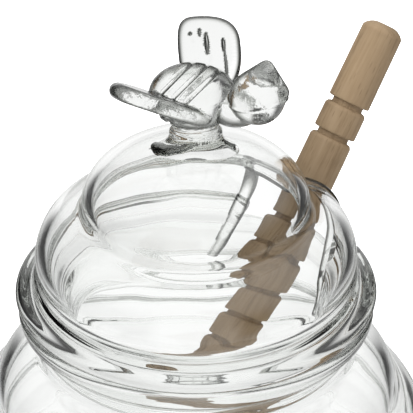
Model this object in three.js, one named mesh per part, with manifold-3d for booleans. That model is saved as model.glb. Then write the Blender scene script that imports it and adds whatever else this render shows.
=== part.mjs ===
// Honey pot with a dipper: a clear glass beehive pot with a tiered glass lid, whose knob is a bee,
// and a wooden dipper that leans out through a notch in the lid.
// Millimetres, +Z up, origin in the middle of the pot's base.

import * as THREE from 'three';
import { mergeVertices } from 'three/addons/utils/BufferGeometryUtils.js';
import Module from 'manifold-3d';

const wasm = await Module();
wasm.setup();

// Shared
const REST_GAP = 0.3; // air between pieces that rest on each other
const GLASS_SIDES = 48; // flat sides round the turned glass

// Pot: the creases between the rings of its body as [radius, height], from the foot up
const POT_CREASES = [[39, 0], [45.6, 10.5], [49.4, 23.5], [49.6, 37.5], [44.4, 50.8], [33.7, 63]];
const POT_RING_BULGE = 2.8; // how far a ring swells past the line between its creases
const POT_WALL = 2.4;
const POT_BASE = 5;
const INNER_BULGE = 0.75; // share of a ring's bulge that its inner face follows
const RIM_RADIUS = 38.4;
const RIM_BOTTOM = 70.9;
const RIM_TOP = 75.2;
const MOUTH_RADIUS = 31.8;
const MOUTH_LIP = { size: 1.4, bulge: 0.35 }; // rounding of the mouth's upper edge
const NECK_HOLLOW = 1; // how far the neck curves in under the rim
const FLOOR_CORNER = 3; // width of the slope from the floor to the wall

// Lid: heights are from the middle of its flange
const FLANGE_RADIUS = 39;
const FLANGE_BOTTOM = -2.5;
const FLANGE_TOP = 1.8;
const FLANGE_ROUND = 1.7; // depth of its rounded edge
const FLANGE_FILLET = 0.6; // hollow between the flange and the tier above it
const LID_HEIGHT = RIM_TOP + REST_GAP - FLANGE_BOTTOM; // where the flange's middle stands
const LOWER_CREASE = [34.2, 5.6];
const UPPER_CREASE = [24, 18.6];
const TIER_BULGE = 4;
const DOME_RADIUS = 24.4;
const DOME_START = 21;
const DOME_RISE = 14;
const LID_WALL = 2.2;
const CREASE_DROP = 0.9; // how far the inner crease is below the outer one
const SKIRT_RADIUS = 30.6;
const SKIRT_WALL = 2.4;
const SKIRT_BOTTOM = -14.8;
const STEM_RADIUS = 4.9;
const STEM_FOOT = 8; // radius where the stem flares into the dome
const STEM_FLARE = { height: 2.8, hollow: 1.4 };
const STEM_RISE = 8; // its top is inside the bee

// Notch in the lid: a gap that the dipper passes through, measured where its sides meet the skirt
const NOTCH_TURN = THREE.MathUtils.degToRad(47); // its middle, from +X
const NOTCH_RADIUS = 23; // along its middle, from the lid's axis
const NOTCH_FOOT = { halfWidth: 17.2, height: -14.5 };
const NOTCH_TOP = { halfWidth: 7.8, height: 17.6 };
const NOTCH_CORNER = 3;
const NOTCH_APEX = -10; // where the planes of its sides meet, along its middle
const NOTCH_END = 60;

// Bee: x forward, y to its left, z up, from the top of the dome, before its nose is pitched up
const BEE_TURN = THREE.MathUtils.degToRad(-28);
const BEE_PITCH = THREE.MathUtils.degToRad(12);
const BEE_BODY = { x: 1.8, z: 11.9, halfLength: 10, radius: 7.1, ridges: 4, ridgeDepth: 0.35 };
const BEE_NECK = { x: 12, z: 9.8, halfLength: 5, halfWidth: 4.2, halfHeight: 3.6 };
const BEE_HEAD = { x: 17.5, z: 12.6, radius: 5.9 };
const CROWN = { forward: 3.8, up: 7.4, radius: 1.1 }; // the point on top of the head, from its middle
const NOSE = { forward: 6.4, up: 1.6, radius: 1.2 };
const WING_ROOT_WIDTH = 3; // half of its width where it starts inside the body
const WING_EDGE = 0.75; // how far its rim is rounded
const LEFT_WING = {
  side: 1,
  root: { x: 5, side: 3, z: 11 },
  sweep: THREE.MathUtils.degToRad(26),
  raise: THREE.MathUtils.degToRad(38),
  roll: 0,
  length: 18.5,
  halfWidth: 6.6,
  thickness: 2.8,
};
const RIGHT_WING = {
  side: -1,
  root: { x: 5.6, side: 3, z: 8.2 },
  sweep: THREE.MathUtils.degToRad(46),
  raise: THREE.MathUtils.degToRad(35),
  roll: THREE.MathUtils.degToRad(11.5),
  length: 21.8,
  halfWidth: 6,
  thickness: 3.5,
};

// Dipper: lengths along it are from its upper end
const DIPPER_LENGTH = 137;
const DIPPER_LEAN = THREE.MathUtils.degToRad(36.5);
const DIPPER_TURN = THREE.MathUtils.degToRad(44); // from +X
const DIPPER_SIDES = 16;
const HANDLE_RADIUS = 4.6;
const HANDLE_SWELL = 0.3; // how much the handle thickens down to the third groove
const HANDLE_DOME = { radius: 3.7, edge: 1.4, crown: 0.4 }; // its rounded upper end
const GRIP_RADIUS = 5.7; // the thicker part below the third groove
const GROOVE_DEPTH = 1;
const GROOVE_WIDTH = 1.9;
const GROOVES = [18.9, 26.3, 46.5, 54.5, 62.5, 70.5, 78.5];
const GRIP_START = 46.5;
const NECK_START = 85;
const NECK_RADIUS = 4.2;
const HEAD_START = 98;
const HEAD_RADIUS = 10;
const HEAD_CORE = 5.2;
const HEAD_RIDGES = 6;
const HEAD_END_SHARE = 0.86; // size of the first and last ridge beside the others
const RIDGE_SHARES = [0.2, 0.5, 0.7]; // of the pitch, where a ridge is full, full and down to the core
const NECK_FLARE = 4;
const DIPPER_END_RADIUS = 6; // of the flat lower end

const point = (pair) => new THREE.Vector2(pair[0], pair[1]);

// Points after a up to b, on the arc that swells by bulge to the right of the way from a to b.
function arc(a, b, bulge, steps) {
  const along = new THREE.Vector2().subVectors(b, a);
  const half = along.length() / 2;
  along.normalize();
  const side = new THREE.Vector2(along.y, -along.x);
  const middle = new THREE.Vector2().addVectors(a, b).multiplyScalar(0.5);
  const radius = (half * half + bulge * bulge) / (2 * bulge);
  const reach = 2 * Math.atan(bulge / half);
  const points = [];
  for (let i = 1; i <= steps; i += 1) {
    const angle = reach * (2 * i / steps - 1);
    const p = middle.clone();
    p.addScaledVector(along, radius * Math.sin(angle));
    p.addScaledVector(side, radius * (Math.cos(angle) - 1) + bulge);
    points.push(p);
  }
  return points;
}

// A turned solid: the profile's points are radius and height, from the axis back to the axis.
function revolve(profile, sides) {
  const geometry = new THREE.LatheGeometry(profile, sides);
  geometry.rotateX(Math.PI / 2);
  return geometry;
}

// A closed geometry as a solid that can be joined and cut.
function solidOf(geometry) {
  const bare = geometry.clone();
  bare.deleteAttribute('normal');
  bare.deleteAttribute('uv');
  const merged = mergeVertices(bare, 1e-4);
  const index = merged.index.array;
  const triangles = [];
  for (let i = 0; i < index.length; i += 3) {
    const [a, b, c] = index.slice(i, i + 3);
    if (a !== b && b !== c && c !== a) {
      triangles.push(a, b, c);
    }
  }
  return new wasm.Manifold(new wasm.Mesh({
    numProp: 3,
    vertProperties: new Float32Array(merged.attributes.position.array),
    triVerts: new Uint32Array(triangles),
  }));
}

function geometryOf(solid) {
  const mesh = solid.getMesh();
  const geometry = new THREE.BufferGeometry();
  geometry.setAttribute('position', new THREE.BufferAttribute(mesh.vertProperties, 3));
  geometry.setIndex(new THREE.BufferAttribute(mesh.triVerts, 1));
  geometry.computeVertexNormals();
  return geometry;
}

function glass() {
  return new THREE.MeshStandardMaterial({ color: 0xe8efec, roughness: 0.04, metalness: 0 });
}

// The rings of the pot's body between its creases, from the foot up.
function potRings(inset, bulge, steps) {
  const creases = POT_CREASES.map(([radius, height]) => point([radius - inset, height]));
  const points = [];
  for (let i = 1; i < creases.length; i += 1) {
    points.push(...arc(creases[i - 1], creases[i], bulge, steps));
  }
  return points;
}

function makePot() {
  const [footRadius] = POT_CREASES[0];
  const rimHalf = (RIM_TOP - RIM_BOTTOM) / 2;
  const rimCore = RIM_RADIUS - rimHalf;
  const neck = point(POT_CREASES.at(-1));
  const lipOuter = point([MOUTH_RADIUS + MOUTH_LIP.size, RIM_TOP]);
  const lipInner = point([MOUTH_RADIUS, RIM_TOP - MOUTH_LIP.size]);
  const outside = [
    point([0, 0]),
    point([footRadius, 0]),
    ...potRings(0, POT_RING_BULGE, 5),
    ...arc(neck, point([rimCore, RIM_BOTTOM]), -NECK_HOLLOW, 3),
    ...arc(point([rimCore, RIM_BOTTOM]), point([rimCore, RIM_TOP]), rimHalf, 5),
    lipOuter,
    ...arc(lipOuter, lipInner, MOUTH_LIP.bulge, 3),
  ];
  const inside = potRings(POT_WALL, POT_RING_BULGE * INNER_BULGE, 4).reverse();
  const floor = inside.filter((p) => p.y > POT_BASE);
  const floorRadius = floor.at(-1).x - FLOOR_CORNER;
  const profile = [...outside, ...floor, point([floorRadius, POT_BASE]), point([0, POT_BASE])];
  const mesh = new THREE.Mesh(revolve(profile, GLASS_SIDES), glass());
  mesh.name = 'pot';
  return mesh;
}

// Points on the dome from its edge to its top, drawn in by inset.
function dome(inset, steps) {
  const points = [];
  for (let i = 0; i <= steps; i += 1) {
    const angle = Math.PI / 2 * i / steps;
    const radius = (DOME_RADIUS - inset) * Math.cos(angle);
    points.push(point([radius, DOME_START + (DOME_RISE - inset) * Math.sin(angle)]));
  }
  return points;
}

function lidProfile() {
  const lower = point(LOWER_CREASE);
  const upper = point(UPPER_CREASE);
  const skirtInner = SKIRT_RADIUS - SKIRT_WALL;
  const upperInner = point([upper.x - LID_WALL, upper.y - CREASE_DROP]);
  const lowerInner = point([skirtInner, FLANGE_TOP]);
  const skirtRound = SKIRT_WALL / 2;
  const flangeCore = FLANGE_RADIUS - FLANGE_ROUND;
  const flangeUnder = point([flangeCore, FLANGE_BOTTOM]);
  const flangeOver = point([flangeCore, FLANGE_TOP]);
  const domeTop = DOME_START + DOME_RISE;
  const inner = dome(LID_WALL, 6).reverse();
  inner[0].x = 0;
  const outer = dome(0, 9).filter((p) => p.x > STEM_FOOT);
  const stemWaist = point([STEM_RADIUS, domeTop + STEM_FLARE.height]);
  return [
    ...inner,
    upperInner,
    ...arc(upperInner, lowerInner, -TIER_BULGE * INNER_BULGE, 5),
    point([skirtInner, SKIRT_BOTTOM + skirtRound]),
    ...arc(
      point([skirtInner, SKIRT_BOTTOM + skirtRound]),
      point([SKIRT_RADIUS, SKIRT_BOTTOM + skirtRound]),
      skirtRound,
      4,
    ),
    point([SKIRT_RADIUS, FLANGE_BOTTOM]),
    flangeUnder,
    ...arc(flangeUnder, flangeOver, FLANGE_ROUND, 5),
    ...arc(flangeOver, lower, -FLANGE_FILLET, 3),
    ...arc(lower, upper, TIER_BULGE, 7),
    ...outer,
    ...arc(outer.at(-1), stemWaist, -STEM_FLARE.hollow, 4),
    point([STEM_RADIUS, domeTop + STEM_RISE]),
    point([0, domeTop + STEM_RISE]),
  ];
}

// A turned piece along the bee's x, centred on x and z.
function beeTurned(profile, sides, { x, z }) {
  const piece = revolve(profile, sides);
  piece.rotateY(Math.PI / 2);
  piece.translate(x, 0, z);
  return piece;
}

// The bee's body: a ringed ellipsoid.
function beeBody() {
  const { halfLength, radius, ridges, ridgeDepth } = BEE_BODY;
  const steps = ridges * 4;
  const profile = [];
  for (let i = 0; i <= steps; i += 1) {
    const t = 2 * i / steps - 1;
    const swell = radius * Math.sqrt(Math.max(0, 1 - t * t));
    const ridge = ridgeDepth * Math.cos(Math.PI * ridges * (t + 1));
    const onAxis = i === 0 || i === steps;
    profile.push(point([onAxis ? 0 : swell - ridge, halfLength * t]));
  }
  return beeTurned(profile, 16, BEE_BODY);
}

// The neck: an oval form that joins the body and the head.
function beeNeck() {
  const form = new THREE.SphereGeometry(1, 14, 8);
  form.scale(BEE_NECK.halfLength, BEE_NECK.halfWidth, BEE_NECK.halfHeight);
  form.translate(BEE_NECK.x, 0, BEE_NECK.z);
  return form;
}

// The head's round.
function beeHead() {
  const steps = 10;
  const profile = [];
  for (let i = 0; i <= steps; i += 1) {
    const angle = Math.PI * (i / steps - 0.5);
    const onAxis = i === 0 || i === steps;
    profile.push(point([onAxis ? 0 : BEE_HEAD.radius * Math.cos(angle), BEE_HEAD.radius * Math.sin(angle)]));
  }
  return beeTurned(profile, 14, BEE_HEAD);
}

// A blunt point drawn out of the head: its sides are tangent to the head's round and to its own tip.
function headPoint({ forward, up, radius }) {
  const reach = Math.hypot(forward, up);
  const taper = Math.asin((BEE_HEAD.radius - radius) / reach);
  const profile = [
    point([0, 0]),
    point([BEE_HEAD.radius * Math.cos(taper), BEE_HEAD.radius * Math.sin(taper)]),
    point([radius * Math.cos(taper), reach + radius * Math.sin(taper)]),
    point([0, reach + radius]),
  ];
  const cone = revolve(profile, 14);
  cone.rotateY(Math.atan2(forward, up));
  cone.translate(BEE_HEAD.x, 0, BEE_HEAD.z);
  return cone;
}

// A wing: a paddle that widens from its root inside the body, side is 1 for the left wing.
function wing({ side, root, sweep, raise, roll, length, halfWidth, thickness }) {
  const width = halfWidth;
  const start = WING_ROOT_WIDTH;
  const spring = length * 0.2; // where the root's curve leaves the body
  const widest = length * 0.6;
  const tip = length * 1.13; // handle of the curve round the tip
  const outline = new THREE.Shape();
  outline.moveTo(0, -start);
  outline.bezierCurveTo(spring, -width, widest - spring, -width, widest, -width);
  outline.bezierCurveTo(tip, -width, tip, width, widest, width);
  outline.bezierCurveTo(widest - spring, width, spring, width, 0, start);
  const paddle = new THREE.ExtrudeGeometry(outline, {
    depth: thickness - 2 * WING_EDGE,
    bevelThickness: WING_EDGE,
    bevelSize: WING_EDGE,
    bevelOffset: -WING_EDGE,
    bevelSegments: 2,
    curveSegments: 8,
  });
  paddle.translate(0, 0, WING_EDGE - thickness / 2);
  paddle.rotateX(roll);
  paddle.rotateY(-raise);
  paddle.rotateZ(side * (Math.PI / 2 + sweep));
  paddle.translate(root.x, side * root.side, root.z);
  return paddle;
}

function makeBee() {
  const head = [beeHead(), headPoint(CROWN), headPoint(NOSE)];
  const pieces = [beeBody(), beeNeck(), ...head, wing(LEFT_WING), wing(RIGHT_WING)];
  const place = new THREE.Matrix4().makeTranslation(0, 0, DOME_START + DOME_RISE);
  place.multiply(new THREE.Matrix4().makeRotationZ(BEE_TURN));
  place.multiply(new THREE.Matrix4().makeRotationY(-BEE_PITCH));
  return pieces.map((piece) => solidOf(piece.applyMatrix4(place)));
}

// The cutter of the notch: a wedge that opens outwards from its apex, under a flat top.
function notchCutter() {
  const slope = (NOTCH_FOOT.halfWidth - NOTCH_TOP.halfWidth) / (NOTCH_TOP.height - NOTCH_FOOT.height);
  const halfWidth = (height) => NOTCH_TOP.halfWidth + slope * (NOTCH_TOP.height - height);
  const foot = 2 * NOTCH_FOOT.height;
  const shoulder = NOTCH_TOP.height - NOTCH_CORNER;
  const flat = NOTCH_TOP.halfWidth - NOTCH_CORNER;
  const outline = new THREE.Shape();
  outline.moveTo(-halfWidth(foot), foot);
  outline.lineTo(halfWidth(foot), foot);
  outline.lineTo(halfWidth(shoulder), shoulder);
  outline.quadraticCurveTo(NOTCH_TOP.halfWidth, NOTCH_TOP.height, flat, NOTCH_TOP.height);
  outline.lineTo(-flat, NOTCH_TOP.height);
  outline.quadraticCurveTo(-NOTCH_TOP.halfWidth, NOTCH_TOP.height, -halfWidth(shoulder), shoulder);
  const cutter = new THREE.ExtrudeGeometry(outline, {
    depth: NOTCH_END - NOTCH_RADIUS / 2,
    bevelEnabled: false,
    curveSegments: 4,
  });
  cutter.rotateX(Math.PI / 2);
  cutter.rotateZ(Math.PI / 2);
  cutter.translate(NOTCH_RADIUS / 2, 0, 0);
  const place = cutter.attributes.position;
  for (let i = 0; i < place.count; i += 1) {
    const scale = (place.getX(i) - NOTCH_APEX) / (NOTCH_RADIUS - NOTCH_APEX);
    place.setY(i, place.getY(i) * scale);
    place.setZ(i, NOTCH_TOP.height + (place.getZ(i) - NOTCH_TOP.height) * scale);
  }
  cutter.rotateZ(NOTCH_TURN);
  return cutter;
}

function makeLid() {
  let solid = solidOf(revolve(lidProfile(), GLASS_SIDES));
  for (const piece of makeBee()) {
    solid = solid.add(piece);
  }
  solid = solid.subtract(solidOf(notchCutter()));
  const mesh = new THREE.Mesh(geometryOf(solid), glass());
  mesh.name = 'lid';
  mesh.position.z = LID_HEIGHT;
  return mesh;
}

// The dipper's radius before its grooves, at a length from its upper end.
function dipperRadius(length) {
  if (length < GRIP_START) {
    return HANDLE_RADIUS + HANDLE_SWELL * length / GRIP_START;
  }
  return GRIP_RADIUS;
}

// The dipper's profile from its lower end up: ridged head, neck, grooved handle, domed end.
function dipperProfile() {
  const up = (radius, length) => point([radius, DIPPER_LENGTH - length]);
  const profile = [up(0, DIPPER_LENGTH), up(DIPPER_END_RADIUS, DIPPER_LENGTH)];
  const pitch = (DIPPER_LENGTH - HEAD_START) / HEAD_RIDGES;
  for (let i = 0; i < HEAD_RIDGES; i += 1) {
    const bottom = DIPPER_LENGTH - pitch * i;
    const atEnd = i === 0 || i === HEAD_RIDGES - 1;
    const crown = HEAD_RADIUS * (atEnd ? HEAD_END_SHARE : 1);
    const [rise, fall, core] = RIDGE_SHARES.map((share) => bottom - share * pitch);
    profile.push(up(crown, rise));
    profile.push(up(crown, fall));
    profile.push(up(HEAD_CORE, core));
    profile.push(up(HEAD_CORE, bottom - pitch));
  }
  profile.push(up(NECK_RADIUS, HEAD_START - NECK_FLARE));
  profile.push(up(NECK_RADIUS, NECK_START + NECK_FLARE));
  profile.push(up(dipperRadius(NECK_START), NECK_START));
  for (const groove of [...GROOVES].reverse()) {
    const below = dipperRadius(groove + GROOVE_WIDTH);
    const above = dipperRadius(groove - GROOVE_WIDTH);
    profile.push(up(below, groove + GROOVE_WIDTH / 2));
    profile.push(up(above - GROOVE_DEPTH, groove));
    profile.push(up(above, groove - GROOVE_WIDTH / 2));
  }
  profile.push(up(HANDLE_RADIUS, HANDLE_DOME.edge));
  profile.push(up(HANDLE_DOME.radius, HANDLE_DOME.crown));
  profile.push(up(0, 0));
  return profile;
}

// The dipper leans on the inner edge of the pot's rim, with its lower end on the pot's floor.
function makeDipper() {
  const profile = dipperProfile();
  const mesh = new THREE.Mesh(
    revolve(profile, DIPPER_SIDES),
    new THREE.MeshStandardMaterial({ color: 0xb08a63, roughness: 0.75, metalness: 0 }),
  );
  mesh.name = 'dipper';
  mesh.rotation.y = DIPPER_LEAN;
  const clear = GRIP_RADIUS + REST_GAP; // from the axis to the rim's edge
  const edge = point([MOUTH_RADIUS, RIM_TOP]);
  const heights = profile.map((p) => p.y * Math.cos(DIPPER_LEAN) - p.x * Math.sin(DIPPER_LEAN));
  const endHeight = POT_BASE + REST_GAP - Math.min(...heights);
  const axisRadius = edge.x - clear * Math.cos(DIPPER_LEAN);
  const axisHeight = edge.y + clear * Math.sin(DIPPER_LEAN);
  const endRadius = axisRadius - (axisHeight - endHeight) * Math.tan(DIPPER_LEAN);
  mesh.position.set(endRadius, 0, endHeight);
  const turned = new THREE.Group();
  turned.rotation.z = DIPPER_TURN;
  turned.add(mesh);
  return turned;
}

const honeyPot = new THREE.Group();
honeyPot.add(makePot(), makeLid(), makeDipper());

export default honeyPot;
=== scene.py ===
import math
import bmesh
import bpy
from mathutils import Matrix, Vector
from mathutils.kdtree import KDTree


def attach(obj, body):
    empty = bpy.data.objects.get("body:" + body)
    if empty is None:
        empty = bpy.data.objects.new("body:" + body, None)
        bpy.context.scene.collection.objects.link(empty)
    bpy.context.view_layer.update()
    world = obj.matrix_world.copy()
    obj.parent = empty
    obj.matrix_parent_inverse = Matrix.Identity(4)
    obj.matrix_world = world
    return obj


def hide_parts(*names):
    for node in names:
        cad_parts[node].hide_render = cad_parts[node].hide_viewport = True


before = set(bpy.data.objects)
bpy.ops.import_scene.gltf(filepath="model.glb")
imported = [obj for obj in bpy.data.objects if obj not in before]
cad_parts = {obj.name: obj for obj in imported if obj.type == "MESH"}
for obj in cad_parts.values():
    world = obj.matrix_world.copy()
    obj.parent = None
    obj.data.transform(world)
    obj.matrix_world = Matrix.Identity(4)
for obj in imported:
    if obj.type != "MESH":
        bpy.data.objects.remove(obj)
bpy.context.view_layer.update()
print("frame loaded:", ", ".join(sorted(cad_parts)))

mm = 0.001
lidHeight = 78  # where the middle of the lid's flange stands, in mm


# camera at the photograph's angle, no shift
view = {
    "elevation": 32,
    "distance": 0.9,
    "lens": 365.4,
    "aim": (0.00225, 0.00899, 0.09238),
}


def makeCamera():
    lens = bpy.data.cameras.new("camera")
    lens.lens = view["lens"]
    lens.sensor_width = 36
    lens.clip_start = 0.05
    camera = bpy.data.objects.new("camera", lens)
    tilt = math.radians(view["elevation"])
    back = Vector((0, -math.cos(tilt), math.sin(tilt)))
    camera.location = Vector(view["aim"]) + back * view["distance"]
    camera.rotation_euler = (math.pi / 2 - tilt, 0, 0)
    bpy.context.scene.collection.objects.link(camera)
    bpy.context.scene.camera = camera


makeCamera()
print("camera placed")


# small helpers for node trees
def addNode(tree, kind, values=None, **options):
    node = tree.nodes.new(kind)
    for key, value in options.items():
        setattr(node, key, value)
    for key, value in (values or {}).items():
        if isinstance(value, bpy.types.NodeSocket):
            tree.links.new(value, node.inputs[key])
        else:
            node.inputs[key].default_value = value
    return node


def addMath(tree, operation, a, b=0.0):
    return addNode(tree, "ShaderNodeMath", {0: a, 1: b}, operation=operation).outputs[0]


def fillRamp(ramp, stops):
    for element, (at, colour) in zip(ramp.elements, (stops[0], stops[-1])):
        element.position, element.color = at, (*colour, 1)
    for at, colour in stops[1:-1]:
        ramp.elements.new(at).color = (*colour, 1)


def inputId(tree, name):
    for item in tree.interface.items_tree:
        if item.item_type == "SOCKET" and item.in_out == "INPUT" and item.name == name:
            return item.identifier
    raise KeyError(name)


def plainMesh(piece):
    # the evaluated result as a plain mesh, with no modifier left
    graph = bpy.context.evaluated_depsgraph_get()
    graph.update()
    mesh = bpy.data.meshes.new_from_object(piece.evaluated_get(graph))
    old = piece.data
    piece.modifiers.clear()
    piece.data = mesh
    bpy.data.meshes.remove(old)
    return mesh


def newPiece(name, mesh):
    piece = bpy.data.objects.new(name, mesh)
    bpy.context.scene.collection.objects.link(piece)
    return piece


def faceOutwards(mesh):
    work = bmesh.new()
    work.from_mesh(mesh)
    if work.calc_volume(signed=True) < 0:
        bmesh.ops.reverse_faces(work, faces=work.faces)
    work.to_mesh(mesh)
    work.free()


# materials
def startMaterial(name):
    material = bpy.data.materials.new(name)
    material.use_nodes = True
    tree = material.node_tree
    shader = next(n for n in tree.nodes if n.type == "BSDF_PRINCIPLED")
    place = addNode(tree, "ShaderNodeTexCoord").outputs["Object"]
    return material, tree, shader, place


clearGlass = {
    "ior": 1.5,
    "absorbColour": (0.57, 0.6, 0.55, 1),
    "absorbDensity": 16,
    # painted shade: the glass's colour goes grey to near black as its surface turns edge-on, standing in for dark
    # surroundings seen through the edges
    "edge": ((0, (0.985, 0.99, 0.986)), (0.35, (0.36, 0.37, 0.35)), (0.7, (0.06, 0.062, 0.058)), (1, (0.02, 0.021, 0.019))),
    "shadeTurnAtZero": (0.74, 1.15),  # how far round a surface turns before painted shade darkens its edge, at a share of none
    # the same at a full share of painted edge shade
    "shadeTurnAtOne": (0.1, 0.37),
    "waveScale": 70,
    "waveHeight": 0.00005,
    "seedScale": 1500,
    "roughness": (0.0, 0.012),
    "pitScale": 520,
    "pitHeight": 0.00022,
}


def makeGlass(name, look):
    material, tree, shader, place = startMaterial(name)
    shader.inputs["Transmission Weight"].default_value = 1
    shader.inputs["IOR"].default_value = look["ior"]
    wave = addNode(tree, "ShaderNodeTexNoise", {"Vector": place, "Scale": look["waveScale"], "Detail": 1})
    bump = addNode(tree, "ShaderNodeBump", {"Height": wave.outputs["Fac"], "Distance": look["waveHeight"], "Strength": 1})
    # pressed or melted forms carry two shares: how much painted shade darkens them where they turn away, and how pitted
    # they are
    paintedEdgeShade, pitted = (addNode(tree, "ShaderNodeAttribute", attribute_name=share).outputs["Fac"] for share in ("paintedEdgeShade", "pitted"))
    pit = addNode(tree, "ShaderNodeTexNoise", {"Vector": place, "Scale": look["pitScale"], "Detail": 4})
    pits = addNode(tree, "ShaderNodeBump", {"Height": addMath(tree, "MULTIPLY", pit.outputs["Fac"], pitted), "Distance": look["pitHeight"], "Strength": 1, "Normal": bump.outputs["Normal"]})
    tree.links.new(pits.outputs["Normal"], shader.inputs["Normal"])
    facing = addNode(tree, "ShaderNodeLayerWeight", {"Blend": 0.5}).outputs["Facing"]
    start, end = (
        addNode(tree, "ShaderNodeMapRange", {"Value": paintedEdgeShade, "To Min": look["shadeTurnAtZero"][k], "To Max": look["shadeTurnAtOne"][k]}, clamp=False).outputs[0]
        for k in (0, 1)
    )
    # painted shade: the further the surface turns edge-on, the darker the base colour taken from the edge ramp
    turned = addNode(tree, "ShaderNodeMapRange", {"Value": facing, "From Min": start, "From Max": end}).outputs[0]
    edge = addNode(tree, "ShaderNodeValToRGB", {"Fac": turned})
    fillRamp(edge.color_ramp, look["edge"])
    tree.links.new(edge.outputs["Color"], shader.inputs["Base Color"])
    haze = addNode(tree, "ShaderNodeTexNoise", {"Vector": place, "Scale": look["seedScale"], "Detail": 3})
    low, high = look["roughness"]
    spread = addNode(tree, "ShaderNodeMapRange", {"Value": haze.outputs["Fac"], "From Min": 0.45, "From Max": 0.75, "To Min": low, "To Max": high})
    tree.links.new(spread.outputs["Result"], shader.inputs["Roughness"])
    absorb = addNode(tree, "ShaderNodeVolumeAbsorption", {"Color": look["absorbColour"], "Density": look["absorbDensity"]})
    out = next(n for n in tree.nodes if n.type == "OUTPUT_MATERIAL")
    tree.links.new(absorb.outputs["Volume"], out.inputs["Volume"])
    return material


# turned pieces: one tree spins a profile of radius and height round the axis
def makeTurnTree():
    tree = bpy.data.node_groups.new("turnOnAxis", "GeometryNodeTree")
    face = tree.interface
    for name, kind in (
        ("Profile", "NodeSocketGeometry"), ("Sides", "NodeSocketInt"), ("Ripple", "NodeSocketFloat"),
        ("Ripple Scale", "NodeSocketFloat"), ("Still Below", "NodeSocketFloat"), ("Seed", "NodeSocketFloat"),
        ("Lean", "NodeSocketVector"), ("Place", "NodeSocketVector"), ("Material", "NodeSocketMaterial"),
    ):
        face.new_socket(name, in_out="INPUT", socket_type=kind)
    face.new_socket("Geometry", in_out="OUTPUT", socket_type="NodeSocketGeometry")
    given = addNode(tree, "NodeGroupInput").outputs
    count = addNode(tree, "GeometryNodeAttributeDomainSize", {"Geometry": given["Profile"]}).outputs["Point Count"]
    columns = addMath(tree, "ADD", given["Sides"], 1)
    grid = addNode(tree, "GeometryNodeMeshGrid", {"Vertices X": count, "Vertices Y": columns}).outputs["Mesh"]
    index = addNode(tree, "GeometryNodeInputIndex").outputs[0]
    row = addMath(tree, "FLOOR", addMath(tree, "DIVIDE", addMath(tree, "ADD", index, 0.5), columns))
    column = addMath(tree, "SUBTRACT", index, addMath(tree, "MULTIPLY", row, columns))
    angle = addMath(tree, "DIVIDE", addMath(tree, "MULTIPLY", column, 2 * math.pi), given["Sides"])
    position = addNode(tree, "GeometryNodeInputPosition").outputs[0]
    sample = addNode(tree, "GeometryNodeSampleIndex", data_type="FLOAT_VECTOR")
    tree.links.new(given["Profile"], sample.inputs["Geometry"])
    tree.links.new(position, sample.inputs["Value"])
    tree.links.new(row, sample.inputs["Index"])
    parts = addNode(tree, "ShaderNodeSeparateXYZ", {0: sample.outputs["Value"]}).outputs
    around = addNode(tree, "ShaderNodeCombineXYZ", {
        "X": addMath(tree, "MULTIPLY", parts["X"], addMath(tree, "COSINE", angle)),
        "Y": addMath(tree, "MULTIPLY", parts["X"], addMath(tree, "SINE", angle)),
        "Z": parts["Z"],
    }).outputs[0]
    spun = addNode(tree, "GeometryNodeSetPosition", {"Geometry": grid, "Position": around}).outputs[0]
    closed = addNode(tree, "GeometryNodeMergeByDistance", {"Geometry": spun, "Distance": 2e-6}).outputs[0]
    # slow waves of hand-finished work, none where the piece stands
    wave = addNode(tree, "ShaderNodeTexNoise", noise_dimensions="4D")
    tree.links.new(position, wave.inputs["Vector"])
    tree.links.new(given["Seed"], wave.inputs["W"])
    tree.links.new(given["Ripple Scale"], wave.inputs["Scale"])
    wave.inputs["Detail"].default_value = 1
    height = addNode(tree, "ShaderNodeSeparateXYZ", {0: position}).outputs["Z"]
    above = addMath(tree, "DIVIDE", addMath(tree, "SUBTRACT", height, given["Still Below"]), 4 * mm)
    share = addNode(tree, "ShaderNodeClamp", {"Value": above}).outputs[0]
    push = addMath(tree, "MULTIPLY", addMath(tree, "SUBTRACT", wave.outputs["Fac"], 0.5), given["Ripple"])
    normal = addNode(tree, "GeometryNodeInputNormal").outputs[0]
    offset = addNode(tree, "ShaderNodeVectorMath", {0: normal, "Scale": addMath(tree, "MULTIPLY", push, share)}, operation="SCALE").outputs[0]
    waved = addNode(tree, "GeometryNodeSetPosition", {"Geometry": closed, "Offset": offset}).outputs[0]
    smooth = addNode(tree, "GeometryNodeSetShadeSmooth", {"Geometry": waved}).outputs[0]
    leaning = addNode(tree, "FunctionNodeEulerToRotation", {0: given["Lean"]}).outputs[0]
    placed = addNode(tree, "GeometryNodeTransform", {"Geometry": smooth, "Translation": given["Place"], "Rotation": leaning}).outputs[0]
    whole = addNode(tree, "GeometryNodeRealizeInstances", {"Geometry": placed}).outputs[0]
    dressed = addNode(tree, "GeometryNodeSetMaterial", {"Geometry": whole, "Material": given["Material"]}).outputs[0]
    out = addNode(tree, "NodeGroupOutput")
    tree.links.new(dressed, out.inputs[0])
    return tree


turnTree = makeTurnTree()


def turnPiece(name, profile, material, sides, ripple=0, rippleScale=60, stillBelow=-1, seed=0, lean=(0, 0, 0), place=(0, 0, 0)):
    line = bpy.data.meshes.new(name)
    line.from_pydata([(r * mm, 0, h * mm) for r, h in profile], [(i, i + 1) for i in range(len(profile) - 1)], [])
    piece = newPiece(name, line)
    spin = piece.modifiers.new("turn", "NODES")
    spin.node_group = turnTree
    for key, value in (
        ("Sides", sides), ("Ripple", ripple * mm), ("Ripple Scale", rippleScale), ("Still Below", stillBelow * mm),
        ("Seed", float(seed)), ("Lean", lean), ("Place", [v * mm for v in place]), ("Material", material),
    ):
        spin[inputId(turnTree, key)] = value
    mesh = plainMesh(piece)
    faceOutwards(mesh)
    return piece


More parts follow.
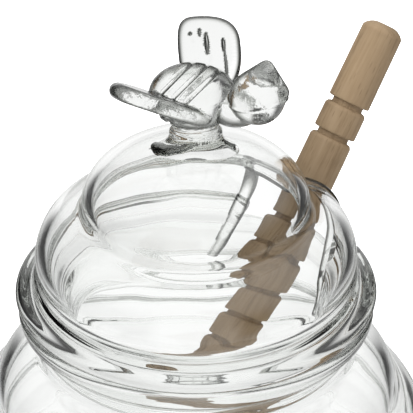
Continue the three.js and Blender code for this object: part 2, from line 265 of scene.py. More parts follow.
# profiles in mm
def arcLine(a, b, bulge, steps=16):
    # points after a up to b, swelling by bulge to the right of the way
    ax, ay = a
    bx, by = b
    half = math.hypot(bx - ax, by - ay) / 2
    ux, uy = (bx - ax) / (2 * half), (by - ay) / (2 * half)
    sx, sy = uy, -ux
    radius = (half * half + bulge * bulge) / (2 * bulge)
    reach = 2 * math.atan(bulge / half)
    points = []
    for i in range(1, steps + 1):
        angle = reach * (2 * i / steps - 1)
        along, side = radius * math.sin(angle), radius * (math.cos(angle) - 1) + bulge
        points.append(((ax + bx) / 2 + ux * along + sx * side, (ay + by) / 2 + uy * along + sy * side))
    return points


def evenLine(points, gap):
    # the same line with evenly spaced points
    total = sum(math.dist(a, b) for a, b in zip(points, points[1:]))
    count = max(2, round(total / gap))
    step = total / count
    even = [points[0]]
    done = 0.0
    for a, b in zip(points, points[1:]):
        length = math.dist(a, b)
        while length > 0 and done + length >= step * len(even) - 1e-9 and len(even) < count:
            t = (step * len(even) - done) / length
            even.append((a[0] + (b[0] - a[0]) * t, a[1] + (b[1] - a[1]) * t))
        done += length
    even.append(points[-1])
    return even


def softLine(points, rounds):
    # corners eased, ends kept
    for _ in range(rounds):
        inner = [tuple((p[k] + 2 * q[k] + r[k]) / 4 for k in (0, 1)) for p, q, r in zip(points, points[1:], points[2:])]
        points = [points[0], *inner, points[-1]]
    return points


def bezierLine(a, b, c, d, steps):
    points = []
    for i in range(steps):
        t = i / steps
        w = ((1 - t) ** 3, 3 * t * (1 - t) ** 2, 3 * t * t * (1 - t), t ** 3)
        points.append(tuple(sum(k * p[n] for k, p in zip(w, (a, b, c, d))) for n in (0, 1)))
    return points


def insideLine(points, wall):
    # the line a wall's thickness to the left of the way, as blown glass keeps its thickness
    moved = []
    for i in range(len(points)):
        a, b = points[max(0, i - 1)], points[min(len(points) - 1, i + 1)]
        dx, dy = b[0] - a[0], b[1] - a[1]
        size = math.hypot(dx, dy)
        moved.append((points[i][0] - wall * dy / size, points[i][1] + wall * dx / size))
    return moved


# looks: each marked place has a share of painted edge shade and a pitted share, which the nearest corners take over
def nearestLooks(mesh, marks, reach):
    tree = KDTree(len(marks))
    for i, (place, look) in enumerate(marks):
        tree.insert(place, i)
    tree.balance()
    found = (tree.find(corner.co) for corner in mesh.vertices)
    return [marks[i][1] if gap < reach else (0, 0) for place, i, gap in found]


def setLooks(mesh, marks, reach):
    looks = nearestLooks(mesh, marks, reach)
    for k, share in enumerate(("paintedEdgeShade", "pitted")):
        mesh.attributes.new(share, "FLOAT", "POINT").data.foreach_set("value", [float(look[k]) for look in looks])


def rimMarks(mesh, radius, low, high, look):
    # the corners of a rounded rim
    corners = (corner.co for corner in mesh.vertices)
    return [(co.copy(), look) for co in corners if math.hypot(co.x, co.y) > radius * mm and low * mm < co.z < high * mm]


# pot
pot = {
    "creases": [(39, 0), (45.6, 10.5), (49.4, 23.5), (49.6, 37.5), (44.4, 50.8), (33.7, 63)],
    "bulge": 2.8,
    "soft": 6,
    "wall": 2.4,
    "base": 5,
    "rimRadius": 38.4,
    "rimBottom": 70.9,
    "rimTop": 75.2,
    "mouth": 31.8,
    "lip": 1.4,
    "sides": 232,
    "gap": 0.82,
    "ripple": 0.16,
    # share of painted edge shade and share of pits along the rim
    "rimLook": (0.3, 0),
}


def potProfile():
    rings = [pot["creases"][0]]
    for a, b in zip(pot["creases"], pot["creases"][1:]):
        rings += arcLine(a, b, pot["bulge"])
    rings = softLine(evenLine(rings, 0.4), pot["soft"])
    half = (pot["rimTop"] - pot["rimBottom"]) / 2
    core = pot["rimRadius"] - half
    lipOut = (pot["mouth"] + pot["lip"], pot["rimTop"])
    lipIn = (pot["mouth"], pot["rimTop"] - pot["lip"])
    rim = arcLine(rings[-1], (core, pot["rimBottom"]), -1)
    rim += arcLine(rim[-1], (core, pot["rimTop"]), half)
    rim += [lipOut, *arcLine(lipOut, lipIn, 0.35)]
    inside = [p for p in reversed(insideLine(rings, pot["wall"])) if p[1] > pot["base"] + 0.2]
    neck = [(pot["mouth"], inside[0][1] + 3.2)]
    floor = [(inside[-1][0] - 3, pot["base"]), (0, pot["base"])]
    return softLine(evenLine([(0, 0), *rings, *rim, *neck, *inside, *floor], pot["gap"]), 2)


potMaterial = makeGlass("potGlass", clearGlass)
potPiece = turnPiece("potGlass", potProfile(), potMaterial, pot["sides"], pot["ripple"], 75, 1, 3)
# the rim's corners take painted edge shade
setLooks(potPiece.data, rimMarks(potPiece.data, pot["rimRadius"] - pot["lip"], pot["rimBottom"], pot["rimTop"], pot["rimLook"]), 0.05 * mm)
print("pot:", len(potPiece.data.polygons), "faces")


# lid: heights from the middle of its flange
lid = {
    "flange": 39,
    "flangeBottom": -2.5,
    "flangeTop": 1.1,
    "flangeRound": 1.7,
    "lowerCrease": (34.2, 5.6),
    "upperCrease": (24, 18.6),
    "bulge": 4,
    "soft": 5,
    "dome": 24.4,
    "domeStart": 21,
    "domeRise": 14,
    "wall": 2.2,
    "skirt": 30.6,
    "skirtWall": 2.4,
    "skirtBottom": -14.8,
    "ledge": 36.9,
    "sides": 200,
    "gap": 0.86,
    "ripple": 0.16,
    # shares of painted edge shade and of pits, for the flange and round the creases
    "flangeLook": (0.42, 0),
    "creaseReach": 1.6,
    "creaseLook": (0.28, 0),
}


def lidTiers():
    # the outer line of tier and dome, from the flange up to the top
    line = [lid["lowerCrease"], *arcLine(lid["lowerCrease"], lid["upperCrease"], lid["bulge"])]
    for i in range(61):
        angle = math.pi / 2 * i / 60
        line.append((lid["dome"] * math.cos(angle), lid["domeStart"] + lid["domeRise"] * math.sin(angle)))
    line[-1] = (0, lid["domeStart"] + lid["domeRise"])
    return softLine(evenLine(line, 0.4), lid["soft"])


def lidProfile():
    tiers = lidTiers()
    inside = insideLine(tiers, lid["wall"])
    inside[-1] = (0, tiers[-1][1] - lid["wall"])
    skirtIn = lid["skirt"] - lid["skirtWall"]
    turn = lid["skirtWall"] / 2
    core = lid["flange"] - lid["flangeRound"]
    under, over = (core, lid["flangeBottom"]), (core, lid["flangeTop"])
    points = inside[::-1]
    tip = points[-1]
    points += bezierLine(tip, (tip[0] - 0.2, tip[1] - 4), (skirtIn, -2), (skirtIn, -7), 24)[1:]
    points.append((skirtIn, lid["skirtBottom"] + turn))
    points += arcLine(points[-1], (lid["skirt"], lid["skirtBottom"] + turn), turn)
    points += [(lid["skirt"], lid["flangeBottom"]), under]
    points += arcLine(under, over, lid["flangeRound"])
    ledge = (lid["ledge"], lid["flangeTop"] + 0.1)
    points += [ledge, *arcLine(ledge, lid["lowerCrease"], -0.9), *tiers[1:]]
    return softLine(evenLine(points, lid["gap"]), 2)


lidMaterial = makeGlass("lidGlass", clearGlass)
lidPiece = turnPiece("lidGlass", lidProfile(), lidMaterial, lid["sides"], lid["ripple"], 75, lid["flangeTop"], 8, place=(0, 0, lidHeight))
print("lid turned:", len(lidPiece.data.polygons), "faces")


# bee on the lid: x forward, y to its left, z up, from the top of the dome
bee = {
    "turn": -28,
    "pitch": 12,
    "body": {"x": 1.8, "z": 11.9, "half": 10, "radius": 7.1},
    # the stripes are pressed in as grooves; their dark value is painted shade in the grooves
    "stripes": {"at": (-7.3, -3.4, 0.6), "lean": 1.1, "depth": 0.45, "width": 0.5, "dark": 0.6},
    "seam": {"from": 8.5, "z": 12.2, "height": 0.22, "width": 0.32},
    "neck": {"place": (12, 0, 9.8), "size": (6.2, 4.8, 4)},
    "head": ((17.5, 0, 12.6, 5.9), (21, 0, 19.5, 1.7), (23.2, 0, 14, 1.9)),
    "stem": ((0, -1.6), (9.3, -1.6), (9.3, -1), (8.4, -0.2), (6.9, 0.8), (5.9, 2), (5.5, 3), (5.8, 3.7), (5.5, 4.4), (4.8, 5.2), (4.6, 8), (0, 8)),
    "stemDepth": 0.62,  # it is narrower from front to back
    "wings": (
        {"side": 1, "root": (5, 3, 11), "sweep": 26, "raise": 38, "roll": 0, "length": 18.9, "half": 6.7, "thick": 3, "slant": 2.6},
        {"side": -1, "root": (5.6, 3, 8.2), "sweep": 46, "raise": 35, "roll": 11.5, "length": 22.3, "half": 6, "thick": 3.5, "slant": 0},
    ),
    # a run of melted glass on the stem's foot, thick at its left end: places and radii
    "run": (
        (-8.7, 1.4, -0.9, 1.1), (-7.6, -0.8, -0.3, 1.25), (-6.1, -2.65, 0.45, 1.1), (-2.9, -3.4, 1.3, 0.8), (-0.6, -3.2, 2.4, 0.6),
        (2.3, -2.8, 2.7, 0.55), (5.2, -1, 2.05, 0.55), (7, -0.5, 0.67, 0.55), (8.4, -0.35, -0.12, 0.7),
    ),
    "wingRoot": 3.4,
    "wingRound": 0.8,  # where a wing's edge starts to round off
    "knuckle": (2.5, -6.3, 11.3, 2.3),
    "slots": (
        (11.4, 0.3, 2.6, 0.55, 1.4), (10.4, -3.2, 1.7, 0.42, 1.2), (14.2, 1.6, 1, 0.32, 1), (14.2, 3.6, 0.45, 0.38, 0.9),
        (5.4, -3.4, 4, 0.3, 0.6),
    ),
    "voxel": 0.25,
    "smooth": 13,
    # per part: how much painted shade darkens its turned-away edges, and how pitted it is
    "looks": {
        "body": (0.55, 0.5), "neck": (0.85, 1), "head": (0.55, 0.7), "farWing": (1, 0), "nearWing": (0.8, 1.7),
        "slot": (1.25, 0), "stem": (0, 0), "run": (1.3, 0),
    },
}


def bodyProfile():
    shape = bee["body"]
    steps = 96
    points = []
    for i in range(steps + 1):
        t = -math.cos(math.pi * i / steps)
        points.append((shape["radius"] * math.sqrt(max(0, 1 - t * t)), shape["half"] * t))
    return points


def pressStripes(mesh, turned, looks):
    # grooves across the body, leaning forward at the top, and the painted shade that darkens them
    body, stripes = bee["body"], bee["stripes"]
    back = turned.inverted()
    centre = Vector((body["x"], 0, body["z"]))
    outward = [corner.normal.copy() for corner in mesh.vertices]
    paintedEdgeShade = []
    for corner, normal, look in zip(mesh.vertices, outward, looks):
        at = back @ (corner.co / mm) - centre
        deep = 0
        out = math.sqrt((at.x / body["half"]) ** 2 + (at.y ** 2 + at.z ** 2) / body["radius"] ** 2)
        near = max(0, 1 - abs(out - 1) / 0.12)
        if near > 0 and look == bee["looks"]["body"]:
            across = at.x - stripes["lean"] * at.z
            deep = sum(math.exp(-((across - line) / stripes["width"]) ** 2) for line in stripes["at"])
            inwards = Vector((0, -at.y, -at.z))
            if inwards.length > 1:
                corner.co += turned.to_3x3() @ inwards.normalized() * (stripes["depth"] * deep * min(1, 2 * near) * mm)
        # a raised mould seam round head and neck
        seam = bee["seam"]
        if at.x + body["x"] > seam["from"]:
            rise = math.exp(-((at.z + body["z"] - seam["z"]) / seam["width"]) ** 2)
            corner.co += normal * (seam["height"] * rise * mm)
        # painted shade in the grooves
        paintedEdgeShade.append(stripes["dark"] * deep)
    return paintedEdgeShade


def wingPlace(wing):
    x, y, z = wing["root"]
    place = Matrix.Translation((x, wing["side"] * y, z)) @ Matrix.Rotation(wing["side"] * math.radians(90 + wing["sweep"]), 4, "Z")
    return place @ Matrix.Rotation(-math.radians(wing["raise"]), 4, "Y") @ Matrix.Rotation(math.radians(wing["roll"]), 4, "X")


def wingMesh(wing):
    # a paddle with a rounded edge
    length, half, root, slant = wing["length"], wing["half"], bee["wingRoot"], wing["slant"]
    spring, widest = 0.2 * length, 0.6 * length
    outline = bezierLine((0, -root), (spring, -half), (widest - spring, -half), (widest, -half), 28)
    outline += bezierLine((widest, -half), (0.84 * length, -half), (0.97 * length, -0.6 * half), (length, slant), 26)
    outline += bezierLine((length, slant), (1.02 * length, 0.9 * half), (0.9 * length, half), (widest, half), 26)
    outline += bezierLine((widest, half), (widest - spring, half), (spring, half), (0, root), 28)
    outline += [(0, root), (0, 0)]
    middle = 0.55 * length
    rings = 26
    work = bmesh.new()
    sheets = []
    for up in (1, -1):
        rows = []
        for k in range(1, rings + 1):
            s = math.sin(math.pi / 2 * k / rings)
            past = max(0, s - bee["wingRound"]) / (1 - bee["wingRound"])
            z = wing["thick"] / 2 * math.sqrt(max(0, 1 - past * past))
            rows.append([work.verts.new((middle + (px - middle) * s, py * s, up * z)) for px, py in outline])
        sheets.append((work.verts.new((middle, 0, up * wing["thick"] / 2)), rows, up))
    size = len(outline)
    for hub, rows, up in sheets:
        for i in range(size):
            j = (i + 1) % size
            work.faces.new((hub, rows[0][i], rows[0][j]) if up > 0 else (hub, rows[0][j], rows[0][i]))
            for low, high in zip(rows, rows[1:]):
                work.faces.new((low[i], high[i], high[j], low[j]) if up > 0 else (low[i], low[j], high[j], high[i]))
    bmesh.ops.remove_doubles(work, verts=work.verts, dist=0.002)
    bmesh.ops.recalc_face_normals(work, faces=work.faces)
    return finishForm(work, wingPlace(wing))


def finishForm(work, place):
    mesh = bpy.data.meshes.new("beeForm")
    work.transform(Matrix.Scale(mm, 4) @ place)
    work.to_mesh(mesh)
    work.free()
    return mesh


def roundForm(centre, size, place=Matrix()):
    work = bmesh.new()
    bmesh.ops.create_icosphere(work, subdivisions=4, radius=1)
    return finishForm(work, place @ Matrix.Translation(centre) @ Matrix.Diagonal((*size, 1)))


def headForm():
    # one skin drawn over the head, its crown and its nose
    work = bmesh.new()
    for x, y, z, radius in bee["head"]:
        bmesh.ops.create_icosphere(work, subdivisions=4, radius=radius, matrix=Matrix.Translation((x, y, z)))
    hull = bmesh.ops.convex_hull(work, input=work.verts)
    loose = [v for v in hull["geom_interior"] + hull["geom_unused"] if isinstance(v, bmesh.types.BMVert)]
    bmesh.ops.delete(work, geom=loose, context="VERTS")
    bmesh.ops.recalc_face_normals(work, faces=work.faces)
    return finishForm(work, Matrix())


def tubeForm(path, radii, side, place=Matrix()):
    # a round rope of glass along a path that never runs the way of side
    work = bmesh.new()
    count = 20
    rings = []
    for i, (point, radius) in enumerate(zip(path, radii)):
        ahead = (path[min(len(path) - 1, i + 1)] - path[max(0, i - 1)]).normalized()
        across = ahead.cross(Vector(side)).normalized()
        third = ahead.cross(across)
        angles = (2 * math.pi * k / count for k in range(count))
        rings.append([work.verts.new(point + (across * math.cos(a) + third * math.sin(a)) * radius) for a in angles])
    for a, b in zip(rings, rings[1:]):
        for i in range(count):
            j = (i + 1) % count
            work.faces.new((a[i], a[j], b[j], b[i]))
    work.faces.new(rings[0])
    work.faces.new(rings[-1])
    bmesh.ops.recalc_face_normals(work, faces=work.faces)
    bmesh.ops.triangulate(work, faces=work.faces)
    return finishForm(work, place)


def removePiece(piece):
    mesh = piece.data
    bpy.data.objects.remove(piece)
    bpy.data.meshes.remove(mesh)


def joinSolids(piece, operation, tools):
    for tool in tools:
        change = piece.modifiers.new("join", "BOOLEAN")
        change.operation = operation
        change.solver = "MANIFOLD"
        change.object = tool
        plainMesh(piece)
        removePiece(tool)


def makeBee():
    body = bee["body"]
    turned = Matrix.Rotation(math.radians(bee["turn"]), 4, "Z") @ Matrix.Rotation(-math.radians(bee["pitch"]), 4, "Y")
    bodyPiece = turnPiece("beeBody", bodyProfile(), lidMaterial, 64, lean=(0, math.pi / 2, 0), place=(body["x"], 0, body["z"]))
    stemPiece = turnPiece("beeStem", softLine(evenLine(bee["stem"], 0.3), 2), lidMaterial, 64)
    knuckle = roundForm(bee["knuckle"][:3], (bee["knuckle"][3],) * 3)
    neck = roundForm(bee["neck"]["place"], bee["neck"]["size"])
    steps = [k / 8 for k in range(8)]
    places = [Vector(a).lerp(Vector(b), t) for a, b in zip(bee["run"], bee["run"][1:]) for t in steps]
    run = tubeForm([place.to_3d() for place in places], [place.w for place in places], (0, 0, 1))
    farWing, nearWing = (wingMesh(wing) for wing in bee["wings"])
    oval = Matrix.Diagonal((1, bee["stemDepth"], 1, 1))
    work = bmesh.new()
    marks = []
    for mesh, place, look in (
        (bodyPiece.data, turned, "body"), (neck, turned, "neck"), (headForm(), turned, "head"), (farWing, turned, "farWing"),
        (nearWing, turned, "nearWing"), (knuckle, turned, "nearWing"), (stemPiece.data, oval, "stem"), (run, Matrix(), "run"),
    ):
        mesh.transform(place)
        work.from_mesh(mesh)
        marks += [(corner.co.copy(), bee["looks"][look]) for corner in mesh.vertices]
    removePiece(bodyPiece)
    removePiece(stemPiece)
    mesh = bpy.data.meshes.new("beeGlass")
    work.to_mesh(mesh)
    work.free()
    piece = newPiece("beeGlass", mesh)
    melt = piece.modifiers.new("melt", "REMESH")
    melt.mode = "VOXEL"
    melt.voxel_size = bee["voxel"] * mm
    melt.use_smooth_shade = True
    ease = piece.modifiers.new("ease", "SMOOTH")
    ease.factor = 0.5
    ease.iterations = bee["smooth"]
    plainMesh(piece)
    wing = bee["wings"][0]
    face = wing["thick"] / 2
    slots = [roundForm((along, across, face), (longHalf, wideHalf, deep), turned @ wingPlace(wing)) for along, across, longHalf, wideHalf, deep in bee["slots"]]
    marks += [(corner.co.copy(), bee["looks"]["slot"]) for slot in slots for corner in slot.vertices]
    joinSolids(piece, "DIFFERENCE", [newPiece("beeSlot", slot) for slot in slots])
    # each corner takes the painted edge shade and pits of its nearest part; the stripes add painted shade in their
    # grooves
    looks = nearestLooks(piece.data, marks, 1)
    darker = pressStripes(piece.data, turned, looks)
    looks = [(edge + more, pit) for (edge, pit), more in zip(looks, darker)]
    piece.data.transform(Matrix.Translation((0, 0, (lidHeight + lid["domeStart"] + lid["domeRise"]) * mm)))
    return piece, [(corner.co.copy(), look) for corner, look in zip(piece.data.vertices, looks)]


beePiece, beeMarks = makeBee()
print("bee melted:", len(beePiece.data.polygons), "faces")


# notch in the lid: a wedge whose sides meet at an apex behind the axis
notch = {
    "turn": 47,
    "radius": 23,
    "foot": (17.2, -14.5),
    "top": (7.8, 17.6),
    "corner": 3,
    "apex": -10,
    "span": (11.5, 60),
    "bead": 1.7,
    "beadFoot": -13.4,
    # share of painted edge shade and share of pits along the bead
    "beadLook": (0.95, 0.2),
}


def notchOutline(low):
    # half widths and heights at the wall, from low on one side over the top to low on the other
    footWidth, footHeight = notch["foot"]
    topWidth, topHeight = notch["top"]
    slope = (footWidth - topWidth) / (topHeight - footHeight)
    corner = notch["corner"]
    edge = (topWidth + slope * corner, topHeight - corner)
    right = [(topWidth + slope * (topHeight - low), low)]
    right += bezierLine(edge, (topWidth + slope * corner / 3, topHeight - corner / 3), (topWidth - corner / 3, topHeight), (topWidth - corner, topHeight), 10)
    right.append((topWidth - corner, topHeight))
    return right + [(-y, z) for y, z in reversed(right)]


def notchPoint(side, height, x):
    scale = (x - notch["apex"]) / (notch["radius"] - notch["apex"])
    top = notch["top"][1]
    return (x, side * scale, top + (height - top) * scale)


def notchPlace():
    return Matrix.Scale(mm, 4) @ Matrix.Translation((0, 0, lidHeight)) @ Matrix.Rotation(math.radians(notch["turn"]), 4, "Z")


def makeNotchCutter():
    outline = notchOutline(2 * notch["foot"][1])
    work = bmesh.new()
    loops = [[work.verts.new(notchPoint(y, z, x)) for y, z in outline] for x in notch["span"]]
    for i in range(len(outline)):
        j = (i + 1) % len(outline)
        work.faces.new((loops[0][i], loops[1][i], loops[1][j], loops[0][j]))
    work.faces.new(loops[0])
    work.faces.new(loops[1])
    bmesh.ops.recalc_face_normals(work, faces=work.faces)
    bmesh.ops.triangulate(work, faces=work.faces)
    work.transform(notchPlace())
    mesh = bpy.data.meshes.new("notchCutter")
    work.to_mesh(mesh)
    work.free()
    return newPiece("notchCutter", mesh)


def makeNotchBead():
    # the cut edge, melted round: a bead along the middle of the wall
    skirt = lid["skirt"] - lid["skirtWall"] / 2
    wall = [(lid["skirtBottom"], skirt), (2 * lid["flangeBottom"], skirt)]
    wall += [(h, r) for r, h in insideLine(lidTiers(), lid["wall"] / 2)]

    def wallRadius(height):
        if height <= wall[0][0]:
            return wall[0][1]
        for (ha, ra), (hb, rb) in zip(wall, wall[1:]):
            if ha <= height <= hb:
                return ra + (rb - ra) * (height - ha) / max(1e-6, hb - ha)
        return 0

    path = []
    for side, height in evenLine(notchOutline(notch["beadFoot"]), 0.5):
        low, high = notch["span"]
        for _ in range(40):
            x = (low + high) / 2
            px, py, pz = notchPoint(side, height, x)
            if math.hypot(px, py) < wallRadius(pz):
                low = x
            else:
                high = x
        path.append(Vector(notchPoint(side, height, low)))
    mesh = tubeForm(path, [notch["bead"]] * len(path), (1, 0, 0), Matrix.Scale(1 / mm, 4) @ notchPlace())
    return newPiece("notchBead", mesh)


def shapeLid():
    bead = makeNotchBead()
    # the bee and the bead carry their painted edge shade and pits
    marks = beeMarks + [(corner.co.copy(), notch["beadLook"]) for corner in bead.data.vertices]
    # the flange and the creases take painted edge shade
    rim = lid["flange"] - lid["flangeRound"]
    marks += rimMarks(lidPiece.data, rim, lidHeight + lid["flangeBottom"], lidHeight + lid["flangeTop"], lid["flangeLook"])
    for radius, height in (lid["lowerCrease"], lid["upperCrease"]):
        reach = lid["creaseReach"]
        marks += rimMarks(lidPiece.data, radius - reach, lidHeight + height - reach, lidHeight + height + reach, lid["creaseLook"])
    joinSolids(lidPiece, "UNION", [beePiece])
    joinSolids(lidPiece, "DIFFERENCE", [makeNotchCutter()])
    joinSolids(lidPiece, "UNION", [bead])
    mesh = lidPiece.data
    setLooks(mesh, marks, 0.05 * mm)
    mesh.materials.clear()
    mesh.materials.append(lidMaterial)
    mesh.polygons.foreach_set("material_index", [0] * len(mesh.polygons))
    mesh.polygons.foreach_set("use_smooth", [True] * len(mesh.polygons))
    mesh.set_sharp_from_angle(angle=math.radians(40))


shapeLid()
print("lid with bee and notch:", len(lidPiece.data.polygons), "faces")


# dipper: lengths along it from its upper end
dipper = {
    "length": 137,
    "lean": 36.5,
    "turn": 44,
    "handle": 4.6,
    "swell": 0.3,
    "grip": 5.7,
    "gripStart": 46.5,
    "grooves": (18.9, 26.3, 46.5, 54.5, 62.5, 70.5, 78.5),
    "grooveDepth": 1.2,
    "grooveWidth": 1.1,
    "neckStart": 85,
    "neck": 4.2,
    "neckFlare": 4,
    "headStart": 98,
    "head": 10,
    "core": 5.2,
    "ridges": 6,
    "endShare": 0.86,
    "endRadius": 6,
    "sides": 96,
    "gap": 0.22,
    "rest": 0.3,
}


def dipperProfile():
    total = dipper["length"]

    def at(radius, along):
        return (radius, total - along)

    def radiusAt(along):
        return dipper["handle"] + dipper["swell"] * along / dipper["gripStart"] if along < dipper["gripStart"] else dipper["grip"]

    points = [at(0, total), at(dipper["endRadius"], total)]
    pitch = (total - dipper["headStart"]) / dipper["ridges"]
    for i in range(dipper["ridges"]):
        bottom = total - pitch * i
        crown = dipper["head"] * (dipper["endShare"] if i in (0, dipper["ridges"] - 1) else 1)
        points += [at(crown, bottom - 0.2 * pitch), at(crown, bottom - 0.5 * pitch), at(dipper["core"], bottom - 0.7 * pitch), at(dipper["core"], bottom - pitch)]
    points += [at(dipper["neck"], dipper["headStart"] - dipper["neckFlare"]), at(dipper["neck"], dipper["neckStart"] + dipper["neckFlare"])]
    points.append(at(radiusAt(dipper["neckStart"]), dipper["neckStart"]))
    wide = dipper["grooveWidth"]
    for groove in reversed(dipper["grooves"]):
        below, above = radiusAt(groove + wide), radiusAt(groove - wide)
        bottom = above - dipper["grooveDepth"]
        points += [at(below, groove + 1.2 * wide), at(below - 0.45, groove + 0.6 * wide), at(bottom, groove + 0.5 * wide), at(bottom, groove - 0.45 * wide), at(above - 0.15, groove - 0.5 * wide), at(above, groove - 0.65 * wide)]
    points += [at(dipper["handle"], 1.4)]
    points += arcLine(points[-1], at(0, 0), 0.9, 14)
    return points


def dipperPlace(profile):
    lean = math.radians(dipper["lean"])
    clear = dipper["grip"] + dipper["rest"]
    lowest = min(h * math.cos(lean) - r * math.sin(lean) for r, h in profile)
    endHeight = pot["base"] + dipper["rest"] - lowest
    axisRadius = pot["mouth"] - clear * math.cos(lean)
    axisHeight = pot["rimTop"] + clear * math.sin(lean)
    endRadius = axisRadius - (axisHeight - endHeight) * math.tan(lean)
    turn = math.radians(dipper["turn"])
    return (endRadius * math.cos(turn), endRadius * math.sin(turn), endHeight)


beech = {
    "pale": (0.335, 0.242, 0.149, 1),
    "mid": (0.286, 0.202, 0.12, 1),
    "dark": (0.2, 0.135, 0.078, 1),
    "grainScale": 900,
    "fleckScale": 1300,
    "roughness": (0.55, 0.78),
}


def makeBeech(name, lean, place):
    material, tree, shader, coordinate = startMaterial(name)
    along = addNode(tree, "ShaderNodeMapping", {"Vector": coordinate, "Location": [v * mm for v in place], "Rotation": lean}, vector_type="TEXTURE").outputs[0]
    # grain drawn out along the stick
    stretched = addNode(tree, "ShaderNodeMapping", {"Vector": along, "Scale": (1, 1, 0.06)}).outputs[0]
    grain = addNode(tree, "ShaderNodeTexNoise", {"Vector": stretched, "Scale": beech["grainScale"], "Detail": 5, "Roughness": 0.62, "Distortion": 0.4})
    broad = addNode(tree, "ShaderNodeTexNoise", {"Vector": stretched, "Scale": beech["grainScale"] * 0.2, "Detail": 2})
    blotch = addNode(tree, "ShaderNodeTexNoise", {"Vector": along, "Scale": 160, "Detail": 3})
    mixed = addMath(tree, "ADD", addMath(tree, "MULTIPLY", grain.outputs["Fac"], 0.5), addMath(tree, "ADD", addMath(tree, "MULTIPLY", broad.outputs["Fac"], 0.25), addMath(tree, "MULTIPLY", blotch.outputs["Fac"], 0.25)))
    tone = addNode(tree, "ShaderNodeValToRGB", {"Fac": mixed})
    ramp = tone.color_ramp
    ramp.elements[0].position, ramp.elements[0].color = 0.34, beech["dark"]
    ramp.elements[1].position, ramp.elements[1].color = 0.62, beech["pale"]
    ramp.elements.new(0.47).color = beech["mid"]
    # short dark rays
    flecked = addNode(tree, "ShaderNodeMapping", {"Vector": along, "Scale": (1, 1, 0.16)}).outputs[0]
    fleck = addNode(tree, "ShaderNodeTexVoronoi", {"Vector": flecked, "Scale": beech["fleckScale"]})
    ray = addNode(tree, "ShaderNodeMapRange", {"Value": fleck.outputs["Distance"], "From Min": 0.08, "From Max": 0.24, "To Min": 0.6, "To Max": 0})
    colour = addNode(tree, "ShaderNodeMix", {0: ray.outputs[0], 6: tone.outputs["Color"], 7: beech["dark"]}, data_type="RGBA")
    tree.links.new(colour.outputs[2], shader.inputs["Base Color"])
    low, high = beech["roughness"]
    rough = addNode(tree, "ShaderNodeMapRange", {"Value": grain.outputs["Fac"], "From Min": 0.3, "From Max": 0.7, "To Min": high, "To Max": low})
    tree.links.new(rough.outputs[0], shader.inputs["Roughness"])
    bump = addNode(tree, "ShaderNodeBump", {"Height": mixed, "Distance": 0.0002, "Strength": 0.5})
    tree.links.new(bump.outputs["Normal"], shader.inputs["Normal"])
    shader.inputs["Specular IOR Level"].default_value = 0.3
    return material


def makeDipper():
    profile = dipperProfile()
    place = dipperPlace(profile)
    lean = (0, math.radians(dipper["lean"]), math.radians(dipper["turn"]))
    material = makeBeech("dipperBeech", lean, place)
    line = softLine(evenLine(profile, dipper["gap"]), 1)
    return turnPiece("dipperWood", line, material, dipper["sides"], 0.05, 200, -50, 5, lean, place)


dipperPiece = makeDipper()
print("dipper:", len(dipperPiece.data.polygons), "faces")

for piece, node, slot in ((potPiece, "pot", "pot_glass"), (lidPiece, "lid", "lid_glass"), (dipperPiece, "dipper", "dipper_wood")):
    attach(piece, "root")
    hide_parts(node)


# stage: pale floor, soft overhead light, dimmer towards the sides so that clear glass shows its edges
studio = {
    "floorRadius": 4,
    "floorGlow": 0.95,  # as the camera sees it
    "fieldGlow": 1.04,  # as it lights the glass
    "fieldDark": 0.05,
    "wideField": (0.4, 0.8),
    "tightField": (0.1, 0.22),
    "ahead": (0.35, 0.6),
    "sky": ((0, 0.05), (0.15, 0.06), (0.35, 0.5), (0.6, 0.95), (1, 1.1)),
    "skyAhead": 0.9,
}


def addStep(tree, value, span, low, high):
    return addNode(tree, "ShaderNodeMapRange", {"Value": value, "From Min": span[0], "From Max": span[1], "To Min": low, "To Max": high}, interpolation_type="SMOOTHSTEP").outputs[0]


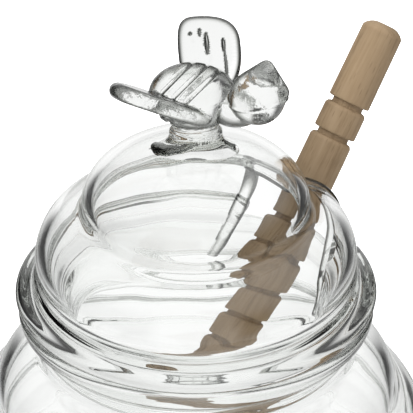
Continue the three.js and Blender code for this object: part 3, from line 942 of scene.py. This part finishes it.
def makeFloor():
    work = bmesh.new()
    bmesh.ops.create_circle(work, cap_ends=True, segments=96, radius=studio["floorRadius"])
    mesh = bpy.data.meshes.new("floor")
    work.to_mesh(mesh)
    work.free()
    floor = newPiece("floor", mesh)
    floor.location.z = -0.0004
    material, tree, shader, place = startMaterial("paleFloor")
    grain = addNode(tree, "ShaderNodeTexNoise", {"Vector": place, "Scale": 400, "Detail": 3})
    tree.links.new(addNode(tree, "ShaderNodeMapRange", {"Value": grain.outputs["Fac"], "To Min": 0.84, "To Max": 0.88}).outputs[0], shader.inputs["Base Color"])
    shader.inputs["Roughness"].default_value = 0.9
    plain = addNode(tree, "ShaderNodeAddShader", {0: shader.outputs[0], 1: addNode(tree, "ShaderNodeEmission", {"Strength": studio["floorGlow"]}).outputs[0]})
    # seen through the glass the floor is a lit field that dims outwards, and a tighter one in the glass's own reflections
    far = addNode(tree, "ShaderNodeVectorMath", {0: place}, operation="LENGTH").outputs["Value"]
    side = addMath(tree, "ABSOLUTE", addNode(tree, "ShaderNodeSeparateXYZ", {0: place}).outputs["X"])
    ahead = addStep(tree, addMath(tree, "DIVIDE", side, far), studio["ahead"], 1, 0)
    wide = addMath(tree, "MAXIMUM", addStep(tree, far, studio["wideField"], 1, 0), ahead)
    tight = addMath(tree, "MAXIMUM", addStep(tree, far, studio["tightField"], 1, 0), ahead)
    path = addNode(tree, "ShaderNodeLightPath").outputs
    mirrored = addMath(tree, "MINIMUM", path["Glossy Depth"], 1)
    level = addNode(tree, "ShaderNodeMix", {0: mirrored, 2: wide, 3: tight}, data_type="FLOAT").outputs[0]
    glow = addNode(tree, "ShaderNodeMapRange", {"Value": level, "To Min": studio["fieldDark"], "To Max": studio["fieldGlow"]}).outputs[0]
    lit = addNode(tree, "ShaderNodeEmission", {"Strength": glow})
    mix = addNode(tree, "ShaderNodeMixShader", {0: path["Is Camera Ray"], 1: lit.outputs[0], 2: plain.outputs[0]})
    out = next(n for n in tree.nodes if n.type == "OUTPUT_MATERIAL")
    tree.links.new(mix.outputs[0], out.inputs["Surface"])
    mesh.materials.append(material)


def makeWorld():
    world = bpy.data.worlds.new("studio")
    bpy.context.scene.world = world
    world.use_nodes = True
    tree = world.node_tree
    way = addNode(tree, "ShaderNodeSeparateXYZ", {0: addNode(tree, "ShaderNodeTexCoord").outputs["Generated"]}).outputs
    ramp = addNode(tree, "ShaderNodeValToRGB", {"Fac": way["Z"]})
    fillRamp(ramp.color_ramp, [(at, (level,) * 3) for at, level in studio["sky"]])
    # a pale backdrop behind and in front, dim to the sides
    backdrop = addStep(tree, addMath(tree, "ABSOLUTE", way["X"]), studio["ahead"], studio["skyAhead"], 0)
    brightest = addMath(tree, "MAXIMUM", addNode(tree, "ShaderNodeRGBToBW", {0: ramp.outputs["Color"]}).outputs[0], backdrop)
    background = next(n for n in tree.nodes if n.type == "BACKGROUND")
    background.inputs["Color"].default_value = (1, 1, 1, 1)
    tree.links.new(brightest, background.inputs["Strength"])


def addSoftbox(name, place, target, size, power):
    lamp = bpy.data.lights.new(name, "AREA")
    lamp.shape = "RECTANGLE"
    lamp.size, lamp.size_y = size
    lamp.energy = power
    light = bpy.data.objects.new(name, lamp)
    light.location = place
    light.rotation_euler = (Vector(target) - Vector(place)).to_track_quat("-Z", "Y").to_euler()
    light.visible_glossy = False
    light.visible_transmission = False
    bpy.context.scene.collection.objects.link(light)


makeFloor()
makeWorld()
addSoftbox("keySoftbox", (-0.7, -0.35, 1.0), (0, 0, 0.1), (0.5, 0.5), 9)
addSoftbox("fillSoftbox", (0.8, -0.5, 0.8), (0, 0, 0.1), (0.5, 0.6), 3)
print("stage lit")

scene = bpy.context.scene
scene.view_settings.view_transform = "Standard"
scene.cycles.max_bounces = 28
scene.cycles.transmission_bounces = 28
scene.cycles.glossy_bounces = 12
scene.cycles.transparent_max_bounces = 16
scene.cycles.sample_clamp_indirect = 6
scene.cycles.blur_glossy = 0
